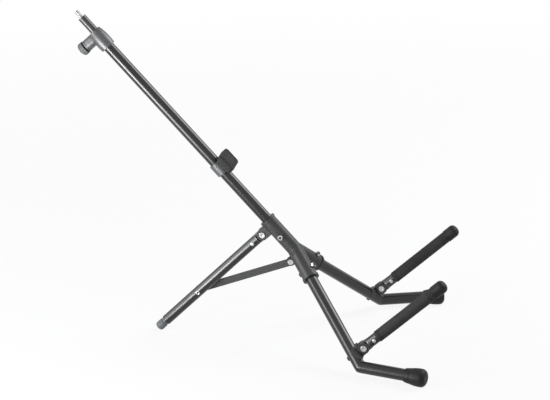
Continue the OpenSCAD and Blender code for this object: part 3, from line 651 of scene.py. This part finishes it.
def knobRadius(angle, z, r):
    # finger flutes: the radius less a power of the raised cosine of flutes * angle, faded at both rims
    t = (z - knob["start"]) / knob["thick"]
    fade = np.clip(np.minimum(t - 0.06, 0.86 - t) * 9, 0, 1)
    wave = 0.5 + 0.5 * np.cos(knob["flutes"] * angle)
    return r - np.where(r > knob["fluted"], knob["fluteDepth"] * fade * wave ** 1.5, 0)


def knobProfile():
    # flat back, rim, drum, domed shoulder, and a shallow dish in the face
    s, t, r = knob["start"], knob["start"] + knob["thick"], knob["radius"]
    p = [(s, 4.1), (s, 8.0), (s, r - 1.2), (s + 0.5, r - 0.3), (s + 1.2, r), (t - 4, r), (t - 1.6, r - 1.3),
         (t - 0.4, r - 3.4), (t, r - 5.0), (t, 8.0), (t - 0.7, 7.4), (t - 0.7, 3.0), (t - 0.3, 0.6)]
    return evenly(rounded(p, 1.1), 0.7)


fluted = turned(knobProfile(), alongY(onMast, (0, 0, knob["z"])), 192, knobRadius)
shell("clampKnobTurned", fluted, "clamp", "knob", ["clamp_knob"], 45)
print("mast top cut")

# small hardware
rivet = dict(at=227.0, wall=3.0, bore=1.9, flange=4.4, lipMiddle=3.2, lipRound=1.3, near=-11.35, far=17.45)


def ringRivet():
    # tube with a rolled lip at each end: the wall runs out, over the lip and back along the bore
    lip = np.linspace(0, np.pi, 9)
    wall, bore, flange = rivet["wall"], rivet["bore"], rivet["flange"]
    reach = rivet["lipMiddle"] + rivet["lipRound"] * np.cos(lip)
    near = np.stack([rivet["near"] - 0.85 * np.sin(lip), reach], -1)
    far = np.stack([rivet["far"] + 1.05 * np.sin(lip), reach], -1)[::-1]
    outside, inside = [(17.35, wall), (-10.2, wall), (-10.2, flange)], [(-10.5, bore), (17.0, bore)]
    return np.concatenate([outside, near, inside, far, [(17.4, flange)]])


rolled = turned(ringRivet(), alongX(onRearLeg, (0, 0, rivet["at"])), 48)
ringPiece("braceRivetRolled", rolled, "rear_leg", "bright", ["brace_rivet"])

domed = dict(alongArm=29.0, legTop=30.02, shank=2.5, halfLength=11.1, head=4.0, height=1.2)


def domeHead(sign):
    # a low dome on the tube's side: its height rises with sin(a) as its radius falls with cos(a) ** 0.7
    a = np.linspace(0, np.pi / 2, 8)
    r = domed["head"]
    rise = np.concatenate([[0, 0.25], 0.25 + 0.75 * np.sin(a[1:])])
    rr = np.concatenate([[r - 0.2, r], r * np.cos(a[1:] * 0.96) ** 0.7])
    return np.stack([sign * (domed["halfLength"] + domed["height"] * rise), rr], -1)


def rivetParts(place, at):
    # a plain shank across the tube and a dome on each side of it
    put = alongX(place, at)
    shank = np.array([(-11.0, domed["shank"]), (11.0, domed["shank"])])
    return [turned(shank, put, 32), turned(domeHead(1), put, 40), turned(domeHead(-1), put, 40)]


for side, word in ((-1, "left"), (1, "right")):
    arm = word + "_arm"
    armRivet = rivetParts(onArm(side), (0, 0, domed["alongArm"]))
    joined(word + "ArmRivetDomed", armRivet, arm, "zinc", [arm + "_rivet"])
legRivet = rivetParts(onRearLeg, (0, 0, domed["legTop"] + domed["alongArm"]))
joined("rearLegRivetDomed", legRivet, "rear_leg", "zinc", ["rear_leg_rivet"])

pin = dict(shank=4.0, head=6.5, out=10.85, rearAt=(0, 30.0, -1.1))


def pinHead(sign):
    # (distance out, radius) from the chamfered back edge to the front one and in to a shallow centre mark
    r, out = pin["head"], pin["out"]
    z = sign * np.array([8.35, 8.55, 10.2, out, out, out - 0.4])
    return evenly(np.stack([z, [r - 0.2, r, r, 5.8, 3.0, 2.2]], -1), 0.8)


def pinParts(place, at):
    # a hinge pin with a head at both ends
    put = alongX(place, at)
    shank = np.array([(-8.4, pin["shank"]), (8.4, pin["shank"])])
    return [turned(shank, put, 40), turned(pinHead(1), put, 48), turned(pinHead(-1), put, 48)]


for side, word in ((-1, "left"), (1, "right")):
    joined(word + "ArmPinTurned", pinParts(onArm(side), (0, 0, 0)), "frame", "zinc", [word + "_arm_pin"])
joined("rearPivotPinTurned", pinParts(onMast, pin["rearAt"]), "frame", "zinc", ["rear_pivot_pin"])

bolt = dict(shank=3.0, head=5.0, height=3.0, legSocket=16.5, mastSocket=16.0, bracket=12.6,
            alongLeg=56.0, alongMast=-28.0)
nut = dict(flat=5.0, edge=4.95, bevel=5.45, corner=5.9, thick=5.0)


def hexRadius(flat):
    # distance to the side of a hexagon, flat to flat = 2 * flat
    return lambda angle: flat / np.cos((angle + np.pi / 6) % (np.pi / 3) - np.pi / 6)


def socketHead(put, low):
    # button head with a six-sided driver socket: rim, crown, socket edge, socket floor
    h, r = bolt["height"], bolt["head"]
    a = np.linspace(0.1, 1.0, 8)
    z = low + h * np.concatenate([[0.0, 0.2], 0.2 + 0.8 * np.sin(a * np.pi / 2), [0.97, 0.35, 0.3]])
    rr = np.concatenate([[r - 0.15, r], r * (1 - 0.5 * a ** 2.2), [0.44 * r, 0.42 * r, 0.1 * r]])
    inSocket = np.concatenate([np.zeros(10), [1, 1, 0]])[:, None] > 0.5
    angle = np.linspace(0, 2 * np.pi, 48, endpoint=False)[None, :]
    radius = np.where(inSocket, hexRadius(0.4 * r)(angle), rr[:, None])
    return put(np.stack([radius * np.cos(angle), radius * np.sin(angle), z[:, None] + 0 * angle], -1))


def boltParts(put, r):
    # a shank through a socket of radius r, and a button head on its outside
    shank = np.array([(-r - 7.0, 2.6), (-r - 6.2, bolt["shank"]), (r + 0.9, bolt["shank"])])
    return [turned(shank, put, 32), socketHead(put, r + 0.1)]


def nutParts(put, r):
    # hexagon with its corners chamfered at both faces, closed flat across each
    angle = np.linspace(0, 2 * np.pi, 72, endpoint=False)[None, :]
    t = nut["thick"]
    z = np.array([0.0, 0.35, 0.7, t - 0.7, t - 0.35, t])[:, None]
    half = [nut["edge"], nut["bevel"], nut["corner"]]
    radius = np.minimum(hexRadius(nut["flat"])(angle), np.array(half + half[::-1])[:, None])
    return put(np.stack([radius * np.cos(angle), radius * np.sin(angle), -r - 0.1 - z + 0 * angle], -1))


def onBracket(side):
    # the place of an arm bracket's bolt, which lies along y
    def place(p):
        return onMast(p + np.array([side * armX, 0, stance["armZ"]]))
    return place


hubBolts, hubNuts = [], []
for put, r in ((alongY(onFrontLeg(-1), (0, 0, bolt["alongLeg"])), bolt["legSocket"]),
               (alongY(onFrontLeg(1), (0, 0, bolt["alongLeg"])), bolt["legSocket"]),
               (alongX(onMast, (0, 0, bolt["alongMast"])), bolt["mastSocket"])):
    hubBolts += boltParts(put, r)
    hubNuts.append(nutParts(put, r))
joined("hubBoltsButton", hubBolts, "frame", "dark_steel", ["hub_bolts"], 30)
joined("hubNutsChamfered", hubNuts, "frame", "zinc", ["hub_nuts"], 30)

bracketBolts = []
for side in (-1, 1):
    put = alongY(onBracket(side), (0, 0, 0))
    shank = np.array([(-13.2, bolt["shank"]), (13.4, bolt["shank"])])
    bracketBolts += [turned(shank, put, 32), socketHead(put, bolt["bracket"])]
joined("bracketBoltsButton", bracketBolts, "frame", "dark_steel", ["arm_bracket_bolts"], 30)
print("hardware made")

# backrest pad
pad = dict(width=64.0, height=40.0, back=17.0, face=30.0, groove=0.7, middle=165.0, corner=8.0)


def padSurface():
    # a rounded rectangle whose edge rolls over to the face, with two grooves that follow the outline:
    # each row lies inset from the outline and at its own depth
    angle = np.linspace(0, 2 * np.pi, 96, endpoint=False) + np.pi / 96
    n = np.stack([np.cos(angle), np.sin(angle)], -1)
    core = np.sign(n) * np.array([pad["width"] / 2 - pad["corner"], pad["height"] / 2 - pad["corner"]])
    inset = np.array([0, 0, 0.25, 0.9, 2.0, 3.6, 4.4, 4.7, 5.5, 5.8, 6.6, 8.4, 8.7, 9.5, 9.8, 11, 15, 19.5])
    f, g = pad["face"], pad["face"] - pad["groove"]
    rolled = [pad["back"], f - 3.5, f - 1.8, f - 0.8, f - 0.2]
    depth = np.array(rolled + [f, f, g, g, f, f, f, g, g, f, f, f, f])
    rows = []
    for inward, y in zip(inset, depth):
        radius = max(pad["corner"] - inward, 0.4)
        shrink = max(inward - pad["corner"] + 0.4, 0)
        q = np.sign(core) * np.maximum(np.abs(core) - shrink, 0.1) + radius * n
        rows.append(np.stack([q[:, 0], 0 * q[:, 0] - y, pad["middle"] + q[:, 1]], -1))
    return onMast(np.array(rows))


shell("backrestPadGrooved", padSurface(), "frame", "foam", ["backrest_pad"])
print("backrest pad shaped")

# castings, moulded parts and the flat bar: copies of the solids with their edges rounded
edgeWidths = dict(hub_casting=0.9, left_arm_bracket=0.8, right_arm_bracket=0.8, rear_leg_knuckle=0.7,
                  left_arm_knuckle=0.7, right_arm_knuckle=0.7, clamp_collar=0.6, brace_strap=0.5,
                  backrest_clip=0.8)
softening = dict(sharp=32, mergeWithin=3e-6, flatWithin=0.6, segments=2)
bodyOf = {node: body for body, nodes in frame["record"]["behaviour"]["bodies"].items() for node in nodes}


def softened(node, width):
    # merges the loose triangles, joins what lies in one plane, then rounds each sharp edge
    merged = bmesh.new()
    merged.from_mesh(frame["nodes"][node].data)
    bmesh.ops.remove_doubles(merged, verts=merged.verts, dist=softening["mergeWithin"])
    flat = np.radians(softening["flatWithin"])
    bmesh.ops.dissolve_limit(merged, angle_limit=flat, verts=merged.verts, edges=merged.edges)
    first, *rest = node.split("_")
    name = first + "".join(word.capitalize() for word in rest) + "Soft"
    mesh = bpy.data.meshes.new(name)
    merged.to_mesh(mesh)
    merged.free()
    piece = finishPiece(name, mesh, bodyOf[node], slotOf[node], [node], softening["sharp"])
    edges = piece.modifiers.new("edges", "BEVEL")
    edges.width, edges.segments = width / 1000, softening["segments"]
    edges.limit_method, edges.angle_limit = "ANGLE", np.radians(softening["sharp"])
    edges.harden_normals = True


for node, width in edgeWidths.items():
    softened(node, width)
print("edges rounded on", len(edgeWidths), "pieces")
